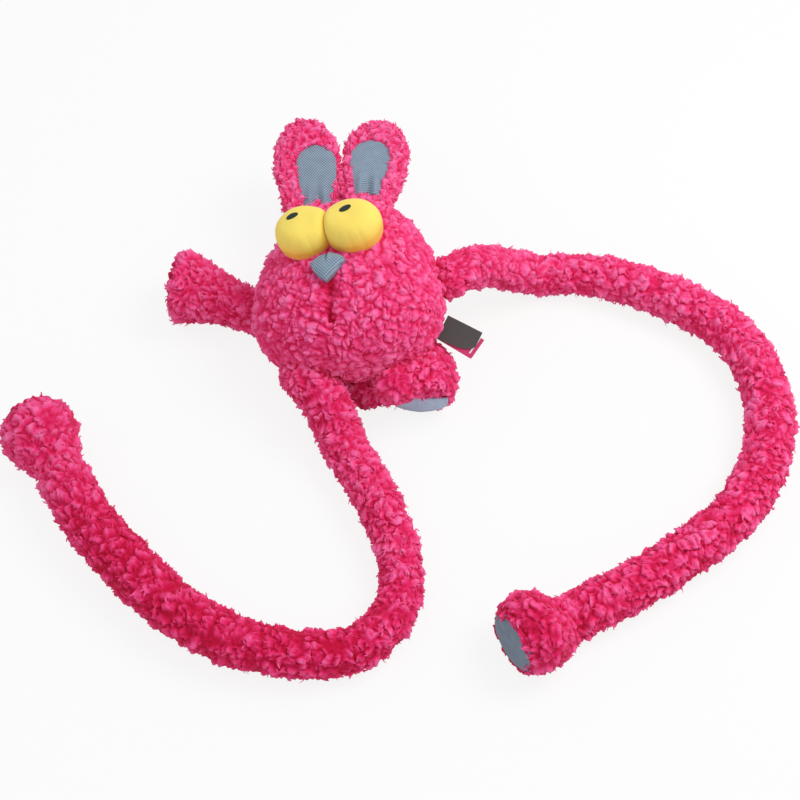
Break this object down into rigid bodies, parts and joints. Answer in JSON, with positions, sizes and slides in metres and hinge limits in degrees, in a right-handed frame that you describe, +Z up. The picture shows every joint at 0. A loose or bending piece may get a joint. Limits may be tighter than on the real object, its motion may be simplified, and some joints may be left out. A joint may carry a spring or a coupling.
{
  "type": "plush squeaky dog toy",
  "caption": "Round curly-plush animal toy lying on its back, with a long arm and a long leg that bend along their length, a short arm and leg, upright ears, domed eyes and a squeaker.",
  "frame": {"origin": "on the floor, in the middle of the flat on which the back of the body rests, under the body's lowest point", "axes": "+Z up, out of the floor towards the belly and face; +Y towards the ears; +X towards the side with the long arm"},
  "size_m": [0.6301, 0.4998, 0.1416],
  "materials": {
    "pink_plush": "curly pile",
    "blue_grey_weave": "woven",
    "yellow_jersey": "smooth knit",
    "dark_stitching": "satin stitch",
    "dark_ribbon": "woven ribbon",
    "white_filling": "loose fibre",
    "milky_plastic": "matte",
    "reed_plastic": "matte"
  },
  "bodies": {
    "torso": {"body_back_panel": "pink_plush", "body_front_left_panel": "pink_plush", "body_front_right_panel": "pink_plush", "body_stuffing": "white_filling", "squeaker_base": "milky_plastic", "squeaker_reed": "reed_plastic", "squeaker_bellows": "milky_plastic", "left_eye": "yellow_jersey", "right_eye": "yellow_jersey", "left_pupil": "dark_stitching", "right_pupil": "dark_stitching", "nose": "blue_grey_weave"},
    "squeaker_top": {"squeaker_cap": "milky_plastic"},
    "left_ear": {"left_ear": "pink_plush", "left_ear_lining": "blue_grey_weave"},
    "right_ear": {"right_ear": "pink_plush", "right_ear_lining": "blue_grey_weave"},
    "label": {"label_front": "dark_ribbon", "label_back": "pink_plush"},
    "short_arm": {"short_arm": "pink_plush", "short_arm_pad": "blue_grey_weave"},
    "short_leg": {"short_leg": "pink_plush", "short_leg_pad": "blue_grey_weave"},
    "long_arm_1": {"long_arm_section_1": "pink_plush"},
    "long_arm_2": {"long_arm_section_2": "pink_plush"},
    "long_arm_3": {"long_arm_section_3": "pink_plush"},
    "long_arm_4": {"long_arm_section_4": "pink_plush"},
    "long_arm_5": {"long_arm_section_5": "pink_plush"},
    "long_arm_6": {"long_arm_section_6": "pink_plush"},
    "long_arm_paw": {"long_arm_paw": "pink_plush", "long_arm_pad": "blue_grey_weave"},
    "long_leg_1": {"long_leg_section_1": "pink_plush"},
    "long_leg_2": {"long_leg_section_2": "pink_plush"},
    "long_leg_3": {"long_leg_section_3": "pink_plush"},
    "long_leg_4": {"long_leg_section_4": "pink_plush"},
    "long_leg_5": {"long_leg_section_5": "pink_plush"},
    "long_leg_6": {"long_leg_section_6": "pink_plush"},
    "long_leg_paw": {"long_leg_paw": "pink_plush", "long_leg_pad": "blue_grey_weave"}
  },
  "joints": [
    {"name": "squeaker_squeeze", "type": "slide", "parent": "torso", "child": "squeaker_top", "axis": [0, 0, -1], "range_m": [0, 0.009], "stiffness_N_per_m": 250, "deforming": ["squeaker_bellows"]},
    {"name": "left_ear_fold", "type": "hinge", "parent": "torso", "child": "left_ear", "pos_m": [-0.01019, 0.08859, 0.04934], "axis": [0.9962, 0.0872, 0], "range_deg": [-30, 20], "stiffness_Nm_per_rad": 0.1},
    {"name": "right_ear_fold", "type": "hinge", "parent": "torso", "child": "right_ear", "pos_m": [0.03919, 0.09694, 0.06246], "axis": [0.9962, -0.0872, 0], "range_deg": [-30, 45], "stiffness_Nm_per_rad": 0.1},
    {"name": "label_flap", "type": "hinge", "parent": "torso", "child": "label", "pos_m": [0.10078, -0.02626, 0.05852], "axis": [-0.3584, -0.7899, -0.4977], "range_deg": [-30, 30], "stiffness_Nm_per_rad": 0.001},
    {"name": "short_arm_lift", "type": "hinge", "parent": "torso", "child": "short_arm", "pos_m": [-0.05634, 0.01266, 0.02871], "axis": [0.4226, 0.9063, 0], "range_deg": [0, 20]},
    {"name": "short_leg_swing", "type": "hinge", "parent": "torso", "child": "short_leg", "pos_m": [0.06114, -0.07252, 0.04671], "axis": [0, 0, -1], "range_deg": [0, 15]},
    {"name": "long_arm_shoulder_lift", "type": "hinge", "parent": "torso", "child": "long_arm_1", "pos_m": [0.10807, 0.01593, 0.07268], "axis": [-0.4117, -0.9113, 0], "range_deg": [0, 30]},
    {"name": "long_arm_bend_1_swing", "type": "hinge", "parent": "long_arm_1", "child": "long_arm_2", "pos_m": [0.19688, 0.0608, 0.01783], "axis": [0, 0, 1], "range_deg": [-8, 25]},
    {"name": "long_arm_bend_2_lift", "type": "hinge", "parent": "long_arm_2", "child": "long_arm_3", "pos_m": [0.29386, 0.03523, 0.01919], "axis": [-0.9891, -0.1473, 0], "range_deg": [0, 25]},
    {"name": "long_arm_bend_3_swing", "type": "hinge", "parent": "long_arm_3", "child": "long_arm_4", "pos_m": [0.35843, -0.03923, 0.01959], "axis": [0, 0, 1], "range_deg": [-8, 25]},
    {"name": "long_arm_bend_4_lift", "type": "hinge", "parent": "long_arm_4", "child": "long_arm_5", "pos_m": [0.34714, -0.13811, 0.01939], "axis": [-0.6651, 0.7468, 0], "range_deg": [0, 25]},
    {"name": "long_arm_bend_5_swing", "type": "hinge", "parent": "long_arm_5", "child": "long_arm_6", "pos_m": [0.27683, -0.21023, 0.01861], "axis": [0, 0, 1], "range_deg": [-20, 20]},
    {"name": "long_arm_wrist_swing", "type": "hinge", "parent": "long_arm_6", "child": "long_arm_paw", "pos_m": [0.1884, -0.26055, 0.01861], "axis": [0, 0, 1], "range_deg": [-20, 20]},
    {"name": "long_leg_hip_swing", "type": "hinge", "parent": "torso", "child": "long_leg_1", "pos_m": [-0.00935, -0.07287, 0.03873], "axis": [0, 0, 1], "range_deg": [-18, 0]},
    {"name": "long_leg_bend_1_lift", "type": "hinge", "parent": "long_leg_1", "child": "long_leg_2", "pos_m": [0.04045, -0.14798, 0.01822], "axis": [-0.7343, 0.6788, 0], "range_deg": [0, 25]},
    {"name": "long_leg_bend_2_swing", "type": "hinge", "parent": "long_leg_2", "child": "long_leg_3", "pos_m": [0.06602, -0.23353, 0.01705], "axis": [0, 0, 1], "range_deg": [-8, 25]},
    {"name": "long_leg_bend_3_lift", "type": "hinge", "parent": "long_leg_3", "child": "long_leg_4", "pos_m": [0.00494, -0.28766, 0.01725], "axis": [0.4451, 0.8955, 0], "range_deg": [0, 25]},
    {"name": "long_leg_bend_4_swing", "type": "hinge", "parent": "long_leg_4", "child": "long_leg_5", "pos_m": [-0.08138, -0.2649, 0.01959], "axis": [0, 0, 1], "range_deg": [-8, 25]},
    {"name": "long_leg_bend_5_lift", "type": "hinge", "parent": "long_leg_5", "child": "long_leg_6", "pos_m": [-0.14973, -0.20623, 0.02095], "axis": [0.8123, 0.5833, 0], "range_deg": [0, 25]},
    {"name": "long_leg_ankle_swing", "type": "hinge", "parent": "long_leg_6", "child": "long_leg_paw", "pos_m": [-0.20231, -0.13301, 0.02056], "axis": [0, 0, 1], "range_deg": [-20, 20]}
  ]
}
